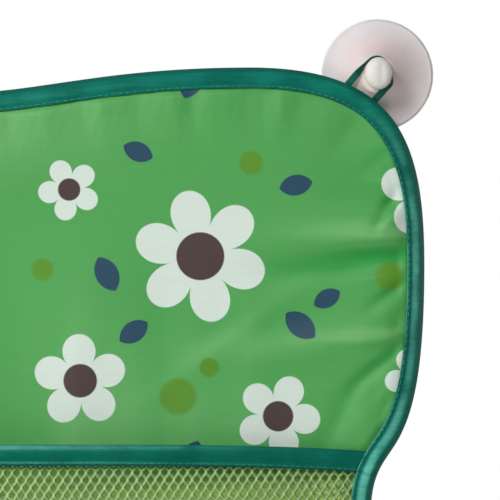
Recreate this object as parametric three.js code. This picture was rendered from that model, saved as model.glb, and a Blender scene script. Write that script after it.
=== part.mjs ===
// A hanging bag for bath toys. A cloth back panel carries a net pocket across its lower half. Folded tape
// binds the edge all round and the pocket's mouth, and two tape loops behind the top corners hang on the
// knobs of two suction cups. X runs to the right, Z up, and the bag faces -Y. The wall is the plane y = 0,
// and the origin lies on it, midway between the axes of the cups. Millimetres.
import * as THREE from 'three';

// Outline of the bag from the front; heights count from the axes of the cups
const headHalfWidth = 214.5;
const waistHalfWidth = 190.5;
const pocketHalfWidth = 197;
const headHeight = 200;
const pocketHeight = 175;
const crownRise = 3;
const crownDip = 11.5;
const crownReachShare = 0.615;
const headWidestShare = 0.46;
const pocketWidestShare = 0.49;
const topRunShares = [0.45, 0.53];
const cornerRunShares = [0.87, 0.69];
const headSideRunShares = [0.78, 0.35];
const pocketSideRunShares = [0.4, 0.4];
const bottomRunShares = [0.8, 0.75];

// Cloth, net and binding tape
const clothThickness = 0.6;
const netThickness = 0.6;
const tapeThickness = 0.5;
const tapeWidth = 9;
const seamGap = 0.3;
const foldClearance = 0.6;

// The pocket's mouth and how far the net stands forward
const mouthAboveWaist = 32;
const mouthEndSag = 2.4;
const mouthToTapeJoint = 14.4;
const mouthBow = 26;
const bellyBow = 34;
const bellyHeightShare = 0.63;

// The panel's edges curl back, and soft folds cross its upper part
const curlDepth = 8;
const curlWidth = 20;
const foldDepth = 3;
const foldLength = 46;
const foldWidth = 13;

// Each fold: its place in shares of the half width and the head height, the degrees that it leans, and its
// depth, length and width in shares of the sizes above; a depth above zero stands forward
const foldShares = [
  { x: 0.84, z: 0.365, lean: 3, depth: 0.8, length: 1, width: 0.85 },
  { x: 0.86, z: 0.43, lean: 4, depth: -1, length: 1, width: 0.8 },
  { x: 0.8, z: 0.54, lean: 28, depth: -0.8, length: 1.2, width: 1.1 },
  { x: 0.86, z: 0.69, lean: 52, depth: 0.8, length: 0.9, width: 1.3 },
  { x: 0.3, z: 0.62, lean: 84, depth: 0.7, length: 1.3, width: 1.6 },
  { x: 0.14, z: 0.6, lean: 96, depth: -0.6, length: 1.2, width: 1.5 },
  { x: -0.2, z: 0.66, lean: 80, depth: 0.6, length: 1.2, width: 1.7 },
  { x: -0.83, z: 0.4, lean: -6, depth: -0.9, length: 1.1, width: 0.9 },
  { x: -0.85, z: 0.5, lean: -10, depth: 0.7, length: 0.9, width: 1 },
  { x: -0.8, z: 0.68, lean: -44, depth: -0.7, length: 1, width: 1.3 },
];

// Suction cup, with its depths counted from the wall
const cupInset = 20.5;
const cupRadius = 25.3;
const lipWidth = 1.5;
const lipThickness = 1.2;
const bossRadius = 8.6;
const bossDepth = 12.6;
const skirtPower = 1.8;
const hollowDepth = 5;
const neckRadius = 5.4;
const neckWideShare = 0.87;
const neckTallShare = 1.13;
const neckFillet = 1.2;
const neckLength = 7;
const knobRadius = 6.6;
const knobThickness = 6;
const knobLip = 1.2;
const knobEdge = 1.4;
const knobWideShare = 0.93;
const knobTallShare = 1.09;

// Hanging loop
const loopTapeWidth = 3.2;
const loopTapeThickness = 1;
const loopClearance = 0.5;
const skirtClearance = 0.5;
const loopSeatShare = 0.36;
const innerRootReach = 13.5;
const outerRootReach = 1.6;
const rootLength = 5.5;
const shoulderShare = 0.4;

// The loop's way over the neck: degrees about the cup's axis, and shares of the closest way round the neck
const neckTurns = [
  { degrees: 140, share: 1.17 },
  { degrees: 115, share: 1.13 },
  { degrees: 90, share: 1.085 },
  { degrees: 60, share: 1.03 },
  { degrees: 30, share: 1 },
  { degrees: 0, share: 1 },
  { degrees: -30, share: 1.22 },
  { degrees: -66, share: 1.13 },
];

// Where the tape starts and ends its quarter turn, in shares of each half of the loop from its middle
const turnStartShare = 0.3;
const turnEndShare = 0.7;

// Steps along the edge, from the middle of the top to the middle of the bottom, and across the sheets
const topSteps = 8;
const cornerSteps = 9;
const headSideSteps = 6;
const pocketSideSteps = 4;
const bottomSteps = 13;
const mouthSteps = 22;
const panelRingShares = [0.13, 0.27, 0.43, 0.62, 0.82];
const netRingShares = [0.1, 0.22, 0.36, 0.52, 0.7, 0.87];
const foldSteps = 4;
const loopSteps = 34;
const loopSectionPoints = 8;
const cupSegments = 40;
const skirtSteps = 7;
const knobSteps = 4;
const halvingTurns = 40;

// Finish of each material: matt near 1, glossy near 0
const clothRoughness = 0.5;
const netRoughness = 0.8;
const tapeRoughness = 0.7;
const loopRoughness = 0.75;
const pvcRoughness = 0.25;

// Places that follow from the sizes
const mouthDrop = headHeight - mouthAboveWaist;
const foldRoom = tapeThickness + foldClearance;
const cupReach = headHalfWidth - cupInset;
const neckHalfWidth = neckRadius * neckWideShare;
const neckHalfHeight = neckRadius * neckTallShare;
const loopRoom = loopClearance + loopTapeThickness / 2;
const neckStart = bossDepth + neckFillet;
const loopDepth = neckStart + neckLength * loopSeatShare;

// Layers in front of the middle of the back panel's cloth, and behind it
const clothRoom = clothThickness / 2 + seamGap;
const netSeat = clothRoom + tapeThickness + seamGap + netThickness / 2;
const netRoom = netSeat + netThickness / 2 + seamGap;
const mouthRoom = netRoom + tapeThickness + seamGap;

// One run of the edge: a curve that leaves and arrives level or upright
function edgeRun(start, end, shares, leavesLevel, arrivesLevel) {
  const span = end.clone().sub(start);
  const level = new THREE.Vector2(span.x, 0);
  const upright = new THREE.Vector2(0, span.y);
  const leaving = start.clone().addScaledVector(leavesLevel ? level : upright, shares[0]);
  const arriving = end.clone().addScaledVector(arrivesLevel ? level : upright, -shares[1]);
  return new THREE.CubicBezierCurve(start, leaving, arriving, end);
}

const topMiddle = new THREE.Vector2(0, crownRise - crownDip);
const crown = new THREE.Vector2(headHalfWidth * crownReachShare, crownRise);
const headWidest = new THREE.Vector2(headHalfWidth, -headHeight * headWidestShare);
const waist = new THREE.Vector2(waistHalfWidth, -headHeight);
const pocketWidest = new THREE.Vector2(pocketHalfWidth, -headHeight - pocketHeight * pocketWidestShare);
const bottomMiddle = new THREE.Vector2(0, -headHeight - pocketHeight);
const topRun = edgeRun(topMiddle, crown, topRunShares, true, true);
const cornerRun = edgeRun(crown, headWidest, cornerRunShares, true, false);
const headSideRun = edgeRun(headWidest, waist, headSideRunShares, false, false);
const pocketSideRun = edgeRun(waist, pocketWidest, pocketSideRunShares, false, false);
const bottomRun = edgeRun(pocketWidest, bottomMiddle, bottomRunShares, false, true);

// Where a run crosses a height or a distance from the centre line, found by halving
function crossing(run, isPast) {
  let low = 0;
  let high = 1;
  for (let turn = 0; turn < halvingTurns; turn += 1) {
    const middle = (low + high) / 2;
    if (isPast(run.getPoint(middle))) high = middle;
    else low = middle;
  }
  return low;
}

function shareAtHeight(run, height) {
  return crossing(run, (point) => point.y < height);
}

function cornerPointAt(reach) {
  return cornerRun.getPoint(crossing(cornerRun, (point) => point.x > reach));
}

// How far the middle of the panel's cloth lies behind its plane; the side edges curl towards the wall
function curl(point) {
  const past = Math.max(0, Math.abs(point.x) - headHalfWidth + curlWidth) / curlWidth;
  return curlDepth * past ** 2;
}

// How far the soft folds stand forward
function foldRise(point) {
  let rise = 0;
  for (const fold of foldShares) {
    const across = point.x - fold.x * headHalfWidth;
    const up = point.y + fold.z * headHeight;
    const angle = THREE.MathUtils.degToRad(fold.lean);
    const along = (across * Math.cos(angle) + up * Math.sin(angle)) / (fold.length * foldLength);
    const aside = (up * Math.cos(angle) - across * Math.sin(angle)) / (fold.width * foldWidth);
    rise += fold.depth * foldDepth * Math.exp(-(along ** 2) - aside ** 2);
  }
  return rise;
}

// A station is a cut across the edge: its point, the way the cut runs, and the front room that the tape needs
function edgeStation(run, share, frontRoom, cutsLevel = false) {
  const point = run.getPoint(share);
  const along = run.getTangent(share);
  const inward = new THREE.Vector2(along.y, -along.x);
  const cut = cutsLevel ? new THREE.Vector2(-1, 0) : inward.clone();
  const stretch = 1 / cut.dot(inward);
  const slope = (curl(point) - curl(point.clone().addScaledVector(cut, tapeWidth))) / tapeWidth;
  cut.multiplyScalar(stretch / Math.hypot(1, slope));
  return { point, cut, frontRoom };
}

function mirroredStation(station) {
  const point = new THREE.Vector2(-station.point.x, station.point.y);
  const cut = new THREE.Vector2(-station.cut.x, station.cut.y);
  return { ...station, point, cut };
}

function inset(station, distance) {
  return station.point.clone().addScaledVector(station.cut, distance);
}

function stationsOn(run, from, to, steps, frontRoom, cutsLevel) {
  const stations = [];
  for (let step = 0; step < steps; step += 1) {
    const share = THREE.MathUtils.lerp(from, to, step / steps);
    stations.push(edgeStation(run, share, frontRoom, cutsLevel));
  }
  return stations;
}

// The mouth's top edge, from -1 at the left seam to 1 at the right, and the places of a cut down from it
function mouthTop(share) {
  return -mouthDrop - mouthEndSag * share ** 4;
}

function sideAtHeight(height, distance) {
  const run = height > waist.y ? headSideRun : pocketSideRun;
  return inset(edgeStation(run, shareAtHeight(run, height), netRoom, true), distance).x;
}

function mouthPoint(share, drop) {
  const height = mouthTop(share) - drop;
  return new THREE.Vector2(share * sideAtHeight(height, foldRoom), height);
}

const mouthEndShare = shareAtHeight(headSideRun, mouthTop(1) - foldRoom);
const jointShare = shareAtHeight(headSideRun, -mouthDrop - mouthToTapeJoint);
const underJointShare = shareAtHeight(headSideRun, -mouthDrop - mouthToTapeJoint - seamGap);
const aboveMouth = [
  ...stationsOn(topRun, 0, 1, topSteps, clothRoom),
  ...stationsOn(cornerRun, 0, 1, cornerSteps, clothRoom),
  ...stationsOn(headSideRun, 0, mouthEndShare, headSideSteps, clothRoom),
];
const mouthEnd = edgeStation(headSideRun, mouthEndShare, mouthRoom, true);
const joint = edgeStation(headSideRun, jointShare, mouthRoom, true);
const underJoint = edgeStation(headSideRun, underJointShare, mouthRoom, true);
const belowJoint = [
  edgeStation(headSideRun, 1, netRoom, true),
  ...stationsOn(pocketSideRun, 0, 1, pocketSideSteps, netRoom).slice(1),
  ...stationsOn(bottomRun, 0, 1, bottomSteps, netRoom),
];
const middleBelow = edgeStation(bottomRun, 1, netRoom);

// Clockwise from the front, starting at the top middle
function mirroredBack(stations) {
  return stations.map(mirroredStation).reverse();
}

const headStations = [
  ...mirroredBack([...aboveMouth, mouthEnd, joint]),
  ...aboveMouth.slice(1),
  mouthEnd,
  joint,
];
const tapeRight = [underJoint, ...belowJoint];
const seamRight = [mouthEnd, joint, ...belowJoint];
const pocketTapeStations = [...tapeRight, middleBelow, ...mirroredBack(tapeRight)];
const seamStations = [...seamRight, middleBelow, ...mirroredBack(seamRight)];
const panelStations = [
  ...aboveMouth,
  ...seamStations,
  ...mirroredBack(aboveMouth.slice(1)),
];

function bodyFrom(positions, indices) {
  const geometry = new THREE.BufferGeometry();
  geometry.setAttribute('position', new THREE.Float32BufferAttribute(positions, 3));
  geometry.setIndex(indices);
  geometry.computeVertexNormals();
  return geometry;
}

// The two triangles of a quad, cut along its shorter diagonal, so that layers over each other are cut alike
function quadFaces(places, [a, b, c, d]) {
  const isShorter = places[a].distanceTo(places[c]) < places[b].distanceTo(places[d]);
  return isShorter ? [[a, b, c], [a, c, d]] : [[a, b, d], [b, c, d]];
}

// A closed body through sections of equal count; strips between a section's two halves close each end
function loft(sections) {
  const count = sections[0].length;
  const places = sections.flat();
  const indices = [];
  const quad = (...corners) => indices.push(...quadFaces(places, corners).flat());
  for (let row = 0; row + 1 < sections.length; row += 1) {
    for (let point = 0; point < count; point += 1) {
      const next = (point + 1) % count;
      const here = row * count;
      const there = here + count;
      quad(here + point, there + point, there + next, here + next);
    }
  }
  const last = (sections.length - 1) * count;
  for (let point = 0; point + 1 < count / 2; point += 1) {
    const across = count - 1 - point;
    quad(point, point + 1, across - 1, across);
    quad(last + point, last + across, last + across - 1, last + point + 1);
  }
  return bodyFrom(places.flatMap((point) => point.toArray()), indices);
}

// A closed thin body through rings of points, from the edge in to one middle point
function thinSheet(rings, middle, thickness) {
  const count = rings[0].length;
  const middles = [...rings.flat(), middle];
  const half = thickness / 2;
  const front = middles.flatMap((point) => [point.x, point.y - half, point.z]);
  const back = middles.flatMap((point) => [point.x, point.y + half, point.z]);
  const behind = middles.length;
  const indices = [];
  const face = (a, b, c) => indices.push(a, b, c, behind + a, behind + c, behind + b);
  for (let point = 0; point < count; point += 1) {
    const next = (point + 1) % count;
    for (let ring = 0; ring + 1 < rings.length; ring += 1) {
      const outer = ring * count;
      const inner = outer + count;
      const corners = [outer + point, inner + point, inner + next, outer + next];
      for (const corner of quadFaces(middles, corners)) face(...corner);
    }
    const innermost = (rings.length - 1) * count;
    face(innermost + point, behind - 1, innermost + next);
    indices.push(point, next, behind + next, point, behind + next, behind + point);
  }
  return bodyFrom([...front, ...back], indices);
}

// A folded tape's section: out along the front, round the fold, back along the wall side, and back inside it
function tapeSection(placeAt, frontRoom, backRoom) {
  const shell = (start, front, back) => {
    const middle = (front + back) / 2;
    const half = (back - front) / 2;
    const places = [[tapeWidth, front]];
    for (let step = 0; step <= foldSteps; step += 1) {
      const turn = (step / foldSteps - 1 / 2) * Math.PI;
      const drop = foldRoom - (foldRoom - start) * Math.cos(turn);
      places.push([drop, middle + half * Math.sin(turn)]);
    }
    places.push([tapeWidth, back]);
    return places.map(([distance, depth]) => {
      const place = placeAt(distance);
      place.y += depth;
      return place;
    });
  };
  const outer = shell(0, -frontRoom - tapeThickness, backRoom + tapeThickness);
  const inner = shell(tapeThickness, -frontRoom, backRoom);
  return [...outer, ...inner.reverse()];
}

function onCloth(point) {
  return new THREE.Vector3(point.x, curl(point), point.y);
}

function edgeTape(stations) {
  return loft(stations.map((station) => (
    tapeSection((distance) => onCloth(inset(station, distance)), station.frontRoom, clothRoom))));
}

function backPanel() {
  const edge = panelStations.map((station) => inset(station, foldRoom));
  const tapeLine = panelStations.map((station) => inset(station, tapeWidth + seamGap));
  const middle = new THREE.Vector2(0, bottomMiddle.y / 2);
  const folded = (point) => {
    const place = onCloth(point);
    place.y -= foldRise(point);
    return place;
  };
  const rings = [
    edge.map(onCloth),
    tapeLine.map(onCloth),
    ...panelRingShares.map((share) => tapeLine.map((point) => folded(point.clone().lerp(middle, share)))),
  ];
  return thinSheet(rings, folded(middle), clothThickness);
}

// Cuts across the mouth, closer to the seams where the side tape lies over its ends
function mouthShares() {
  const height = mouthTop(1) - tapeWidth;
  const clear = sideAtHeight(height, tapeWidth + seamGap) / sideAtHeight(height, foldRoom);
  const shares = [];
  for (let step = 0; step <= mouthSteps; step += 1) shares.push(clear * (step / mouthSteps * 2 - 1));
  return [-1, ...shares, 1];
}

function mouthBowAt(share) {
  const clear = mouthShares().at(-2);
  return mouthBow * Math.max(0, 1 - (share / clear) ** 2);
}

function pocketNet() {
  const inner = tapeWidth + seamGap;
  const shares = mouthShares().slice(1, -1);
  const corner = (beside, below) => beside.clone().lerp(below, 1 / 2);
  const seamEdge = seamStations.map((station) => inset(station, foldRoom));
  const seamInner = seamStations.map((station) => inset(station, inner));
  seamInner[0] = corner(mouthPoint(shares.at(-1), inner), seamInner[1]);
  seamInner[seamInner.length - 1] = corner(mouthPoint(shares[0], inner), seamInner.at(-2));
  const edge = [...seamEdge, ...shares.map((share) => mouthPoint(share, foldRoom))];
  const tapeLine = [...seamInner, ...shares.map((share) => mouthPoint(share, inner))];
  const bows = [...seamEdge.map(() => 0), ...shares.map(mouthBowAt)];
  const middle = new THREE.Vector2(0, THREE.MathUtils.lerp(bottomMiddle.y, -mouthDrop, 1 - bellyHeightShare));
  const standing = (point, bow) => {
    const place = onCloth(point);
    place.y -= netSeat + bow;
    return place;
  };
  const rings = [
    edge.map((point, index) => standing(point, bows[index])),
    tapeLine.map((point, index) => standing(point, bows[index])),
    ...netRingShares.map((share) => tapeLine.map((point, index) => {
      const rise = Math.sin(share * Math.PI / 2);
      return standing(point.clone().lerp(middle, share), THREE.MathUtils.lerp(bows[index], bellyBow, rise));
    })),
  ];
  return thinSheet(rings, standing(middle, bellyBow), netThickness);
}

function mouthTape() {
  const room = netThickness / 2 + seamGap;
  return loft(mouthShares().map((share) => tapeSection((distance) => {
    const place = onCloth(mouthPoint(share, distance));
    place.y -= netSeat + mouthBowAt(share);
    return place;
  }, room, room)));
}

// Depth of the skirt's front face at a radius
function skirtDepth(radius) {
  const share = (cupRadius - radius) / (cupRadius - bossRadius);
  return lipThickness + (bossDepth - lipThickness) * share ** skirtPower;
}

function suctionCup() {
  const hollowRadius = cupRadius - lipWidth;
  const profile = [];
  for (let step = 0; step <= skirtSteps; step += 1) {
    const share = step / skirtSteps;
    profile.push(new THREE.Vector2(hollowRadius * share, -hollowDepth * (1 - share ** 2)));
  }
  profile.push(new THREE.Vector2(cupRadius, 0));
  for (let step = 0; step <= skirtSteps; step += 1) {
    const radius = THREE.MathUtils.lerp(cupRadius, bossRadius, step / skirtSteps);
    profile.push(new THREE.Vector2(radius, -skirtDepth(radius)));
  }
  profile.push(new THREE.Vector2(neckRadius, -neckStart));
  profile.push(new THREE.Vector2(neckRadius, -neckStart - neckLength));
  const knobStart = neckStart + neckLength + knobLip;
  const knobEnd = knobStart + knobThickness;
  for (let step = 0; step <= knobSteps; step += 1) {
    const turn = step / knobSteps * Math.PI / 2;
    const radius = knobRadius - knobEdge + knobEdge * Math.cos(turn);
    const depth = knobEnd - knobEdge + knobEdge * Math.sin(turn);
    if (step === 0) profile.push(new THREE.Vector2(knobRadius, -knobStart));
    profile.push(new THREE.Vector2(radius, -depth));
  }
  profile.push(new THREE.Vector2(0, -knobEnd));
  const geometry = new THREE.LatheGeometry(profile.reverse(), cupSegments);
  const places = geometry.getAttribute('position');
  for (let index = 0; index < places.count; index += 1) {
    if (places.getY(index) > -neckStart + neckFillet / 2) continue;
    const isKnob = places.getY(index) < -neckStart - neckLength - knobLip / 2;
    places.setX(index, places.getX(index) * (isKnob ? knobWideShare : neckWideShare));
    places.setZ(index, places.getZ(index) * (isKnob ? knobTallShare : neckTallShare));
  }
  geometry.computeVertexNormals();
  return geometry;
}

// The bag hangs as near the wall as the loops' sewn ends can lie in front of the cups' skirts
const cupAxis = new THREE.Vector2(cupReach, 0);
const cornerReach = Math.min(...aboveMouth.map(({ point }) => point.distanceTo(cupAxis)));
const rootDepth = skirtDepth(cornerReach - loopTapeWidth / 2) + skirtClearance + loopTapeThickness / 2;
const bagDepth = rootDepth + loopTapeThickness / 2 + seamGap + tapeThickness + clothRoom;

// One loop, about the axis of its cup: up from behind the binding, over the neck and down its outer side. The
// tape lies flat where it is sewn, and turns on edge to pass over the neck; its legs clear the cup's boss
function hangingLoop() {
  const overNeck = neckTurns.map(({ degrees, share }) => {
    const angle = THREE.MathUtils.degToRad(degrees);
    const across = (neckHalfWidth + loopRoom) * Math.cos(angle);
    const up = (neckHalfHeight + loopRoom) * Math.sin(angle);
    return new THREE.Vector2(across, up).multiplyScalar(share);
  });
  const innerRoot = cornerPointAt(cupReach - innerRootReach).sub(cupAxis);
  const outerRoot = cornerPointAt(cupReach - outerRootReach).sub(cupAxis);
  const beyond = (root, before) => (
    root.clone().addScaledVector(root.clone().sub(before).normalize(), rootLength));
  const innerEnd = beyond(innerRoot, overNeck[0]);
  const outerEnd = beyond(outerRoot, overNeck.at(-1));
  const atDepth = (point, depth) => new THREE.Vector3(point.x, -depth, point.y);
  const overBoss = (root, before) => {
    const point = root.clone().lerp(before, shoulderShare);
    const clear = skirtDepth(point.length() - loopTapeWidth / 2) + skirtClearance + loopTapeWidth / 2;
    return atDepth(point, THREE.MathUtils.clamp(clear, rootDepth, loopDepth));
  };
  const route = new THREE.CatmullRomCurve3([
    atDepth(innerEnd, rootDepth),
    atDepth(innerRoot, rootDepth),
    overBoss(innerRoot, overNeck[0]),
    ...overNeck.map((point) => atDepth(point, loopDepth)),
    overBoss(outerRoot, overNeck.at(-1)),
    atDepth(outerRoot, rootDepth),
    atDepth(outerEnd, rootDepth),
  ], false, 'centripetal');
  const sections = [];
  for (let step = 0; step <= loopSteps; step += 1) {
    const share = step / loopSteps;
    const centre = route.getPointAt(share);
    const along = route.getTangentAt(share);
    const aside = new THREE.Vector3(along.z, 0, -along.x).normalize();
    const through = new THREE.Vector3().crossVectors(along, aside);
    const fromNeck = Math.min(1, Math.abs(share - 1 / 2) * 2);
    const turn = THREE.MathUtils.smoothstep(fromNeck, turnStartShare, turnEndShare) * Math.PI / 2;
    const wide = through.clone().multiplyScalar(Math.cos(turn)).addScaledVector(aside, Math.sin(turn));
    const thin = aside.clone().multiplyScalar(Math.cos(turn)).addScaledVector(through, -Math.sin(turn));
    const section = [];
    for (let point = 0; point < loopSectionPoints; point += 1) {
      const angle = (point + 1 / 2) / loopSectionPoints * Math.PI * 2;
      section.push(centre.clone()
        .addScaledVector(wide, Math.cos(angle) * loopTapeWidth / 2)
        .addScaledVector(thin, Math.sin(angle) * loopTapeThickness / 2));
    }
    sections.push(section);
  }
  return loft(sections);
}

// The same body seen in a mirror on the plane x = 0
function mirrored(geometry) {
  const copy = geometry.clone();
  copy.scale(-1, 1, 1);
  const index = copy.getIndex();
  for (let corner = 0; corner < index.count; corner += 3) {
    const second = index.getX(corner + 1);
    index.setX(corner + 1, index.getX(corner + 2));
    index.setX(corner + 2, second);
  }
  copy.computeVertexNormals();
  return copy;
}

function piece(name, geometry, colour, roughness) {
  const material = new THREE.MeshStandardMaterial({ color: colour, roughness, metalness: 0 });
  const mesh = new THREE.Mesh(geometry, material);
  mesh.name = name;
  return mesh;
}

const clothGreen = 0x50a558;
const netGreen = 0x7f9c5a;
const tapeTeal = 0x0e6253;
const mouthTeal = 0x146452;
const loopGreen = 0x235642;
const cupPvc = 0xd8cecd;

const bag = new THREE.Group();
bag.position.y = -bagDepth;
bag.add(piece('back_panel', backPanel(), clothGreen, clothRoughness));
bag.add(piece('head_binding', edgeTape(headStations), tapeTeal, tapeRoughness));
bag.add(piece('pocket_binding', edgeTape(pocketTapeStations), tapeTeal, tapeRoughness));
bag.add(piece('pocket_mesh', pocketNet(), netGreen, netRoughness));
bag.add(piece('mouth_binding', mouthTape(), mouthTeal, tapeRoughness));

const right = new THREE.Group();
right.position.x = cupReach;
right.add(piece('right_suction_cup', suctionCup(), cupPvc, pvcRoughness));
right.add(piece('right_hanging_loop', hangingLoop(), loopGreen, loopRoughness));

const left = new THREE.Group();
left.position.x = -cupReach;
left.add(piece('left_suction_cup', suctionCup(), cupPvc, pvcRoughness));
left.add(piece('left_hanging_loop', mirrored(hangingLoop()), loopGreen, loopRoughness));

const organizer = new THREE.Group();
organizer.add(bag, right, left);

export default organizer;
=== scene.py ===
# A hanging bag for bath toys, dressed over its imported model. Metres; X to the right, Z up, the bag faces -Y.
import math

import bpy
import numpy as np
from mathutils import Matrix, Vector


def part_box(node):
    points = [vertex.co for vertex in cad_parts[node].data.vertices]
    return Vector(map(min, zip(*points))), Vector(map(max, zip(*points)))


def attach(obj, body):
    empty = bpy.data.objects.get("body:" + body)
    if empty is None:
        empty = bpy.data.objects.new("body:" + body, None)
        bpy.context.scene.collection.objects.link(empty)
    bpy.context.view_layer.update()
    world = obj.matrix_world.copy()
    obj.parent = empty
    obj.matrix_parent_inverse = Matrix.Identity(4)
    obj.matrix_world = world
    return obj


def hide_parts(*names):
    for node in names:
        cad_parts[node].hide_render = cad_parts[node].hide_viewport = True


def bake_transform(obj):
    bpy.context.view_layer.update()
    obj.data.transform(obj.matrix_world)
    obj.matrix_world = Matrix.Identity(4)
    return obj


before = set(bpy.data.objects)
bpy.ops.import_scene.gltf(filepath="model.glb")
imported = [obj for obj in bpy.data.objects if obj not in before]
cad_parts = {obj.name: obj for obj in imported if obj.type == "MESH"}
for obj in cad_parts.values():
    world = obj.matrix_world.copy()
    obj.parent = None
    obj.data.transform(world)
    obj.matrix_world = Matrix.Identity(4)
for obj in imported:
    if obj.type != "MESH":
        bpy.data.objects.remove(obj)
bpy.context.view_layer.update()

# Back panel
# One layer of printed woven polyester, cut to the bag's outline, with its edge inside the folded binding
# tape. Soft folds cross its upper part, and it puckers where the binding is sewn on.
head_half_width = 0.2145
waist_half_width = 0.1907
side_swell = 0.0007
pocket_half_width = 0.197
head_height = 0.2
pocket_height = 0.175
crown_rise = 0.003
crown_dip = 0.01175
crown_reach = 0.6365 * head_half_width
head_widest = -0.43 * head_height
pocket_widest = -head_height - 0.49 * pocket_height
curl_depth = 0.008
curl_width = 0.02
run_steps = 400
walk_step = 0.0005

# The loops' sewn ends lie just behind the head's binding, which sets how far the cloth hangs from the wall
cloth_thickness = 0.0006
tape_thickness = 0.0005
seam_gap = 0.0003
loop_thickness = 0.001
cloth_room = cloth_thickness / 2 + seam_gap
loop_root_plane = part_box("right_hanging_loop")[1].y - loop_thickness / 2
cloth_plane = loop_root_plane - loop_thickness / 2 - seam_gap - tape_thickness - cloth_room


def edge_run(start, end, leave, arrive):
    """A curve between two places. Leave and arrive are the reach of its handles, as shares of the way across
    and of the way up."""
    start, end, leave, arrive = (np.array(pair) for pair in (start, end, leave, arrive))
    leaving, arriving = start + leave * (end - start), end - arrive * (end - start)
    t = np.linspace(0, 1, run_steps, endpoint=False)[:, None]
    return (
        start * (1 - t) ** 3
        + leaving * 3 * t * (1 - t) ** 2
        + arriving * 3 * t**2 * (1 - t)
        + end * t**3
    )


# Both halves of the bag are cut to one line, which the panel, the net and the tapes all follow
crown = (crown_reach, crown_rise)
shoulder = (head_half_width + side_swell, head_widest)
waist = (waist_half_width, -head_height)
hip = (pocket_half_width, pocket_widest)
foot = (0, -head_height - pocket_height)
right_edge = np.vstack([
    edge_run((0, crown_rise - crown_dip), crown, (0.3, 0), (0.5, 0)),
    edge_run(crown, shoulder, (0.867, 0), (0, 0.604)),
    edge_run(shoulder, waist, (0, 0.89), (0, 0.38)),
    edge_run(waist, hip, (0, 0.4), (0, 0.4)),
    edge_run(hip, foot, (0, 0.8), (0.75, 0)),
    [foot],
])
left_edge = right_edge[-2:0:-1] * (-1, 1)
edge_line = np.vstack([right_edge, left_edge, right_edge[:1]])
edge_steps = np.linalg.norm(np.diff(edge_line, axis=0), axis=1)
edge_walk = np.concatenate([[0], np.cumsum(edge_steps)])
edge_length = edge_walk[-1]


def edge_point(walked):
    """The place on the outline that far along it, walked from the top middle to the right and on round."""
    around = np.mod(walked, edge_length)
    return np.stack([np.interp(around, edge_walk, edge_line[:, i]) for i in (0, 1)], axis=-1)


def edge_inward(walked):
    along = edge_point(walked + walk_step) - edge_point(walked - walk_step)
    along /= np.linalg.norm(along, axis=-1, keepdims=True)
    return np.stack([along[..., 1], -along[..., 0]], axis=-1)


def from_middle(walked):
    """How far along the edge a place is from the top middle, whichever side it is on."""
    around = np.mod(walked, edge_length)
    return np.minimum(around, edge_length - around)


def walk_to_height(height):
    """The walk to the place below the right shoulder that is at this height."""
    half = right_edge[:, 1]
    widest = int(np.argmax(right_edge[:, 0]))
    return np.interp(-height, -half[widest:], edge_walk[widest:len(half)])


def curl(x):
    """How far the bag's sides curl back towards the wall."""
    past = np.maximum(0, np.abs(x) - head_half_width + curl_width) / curl_width
    return curl_depth * past**2


def inset(walked, distance):
    """Points that far in from the edge, measured along the cloth as it curls back."""
    point, inward = edge_point(walked), edge_inward(walked)
    far = point + inward * distance
    slope = (curl(point[..., 0]) - curl(far[..., 0])) / max(abs(distance), 1e-6)
    return point + inward * (distance / np.hypot(1, slope))[..., None]


def mesh_piece(name, points, faces, smooth=True):
    mesh = bpy.data.meshes.new(name)
    points = [tuple(map(float, point)) for point in points]
    mesh.from_pydata(points, [], [tuple(map(int, face)) for face in faces])
    mesh.update()
    if smooth:
        mesh.shade_smooth()
    piece = bpy.data.objects.new(name, mesh)
    bpy.context.scene.collection.objects.link(piece)
    return piece


panel_cell = 0.0015
pocket_cell = 0.0045
pocket_start = -0.172
panel_edge_inset = 0.0022
tape_width = 0.009
fold_depth = 0.003
fold_length = 0.046
fold_width = 0.013
# Each fold is told by where it lies across and down, as shares of the head's half width and height, by its
# lean in degrees, and by its depth, length and width, as shares of the three above
folds = [
    (0.86, 0.37, 2, 0.75, 0.8, 0.72),
    (0.86, 0.435, 4, -0.9, 0.95, 0.6),
    (0.05, 0.16, 10, 0.55, 2.2, 2.2),
    (0.42, 0.81, 2, 0.42, 1.8, 2.2),
    (0.88, 0.26, 2, -0.4, 0.7, 1.4),
    (0.8, 0.54, 18, -0.2, 0.9, 0.7),
    (0.76, 0.61, 6, 0.55, 1.1, 0.7),
    (0.3, 0.62, 84, 0.3, 1.3, 1.8),
    (0.14, 0.6, 96, -0.15, 1.2, 1.5),
    (-0.2, 0.66, 80, 0.6, 1.2, 1.7),
    (-0.83, 0.4, -6, -0.9, 1.1, 0.9),
    (-0.85, 0.5, -10, 0.7, 0.9, 1),
    (-0.8, 0.68, -44, -0.7, 1, 1.3),
]
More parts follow.
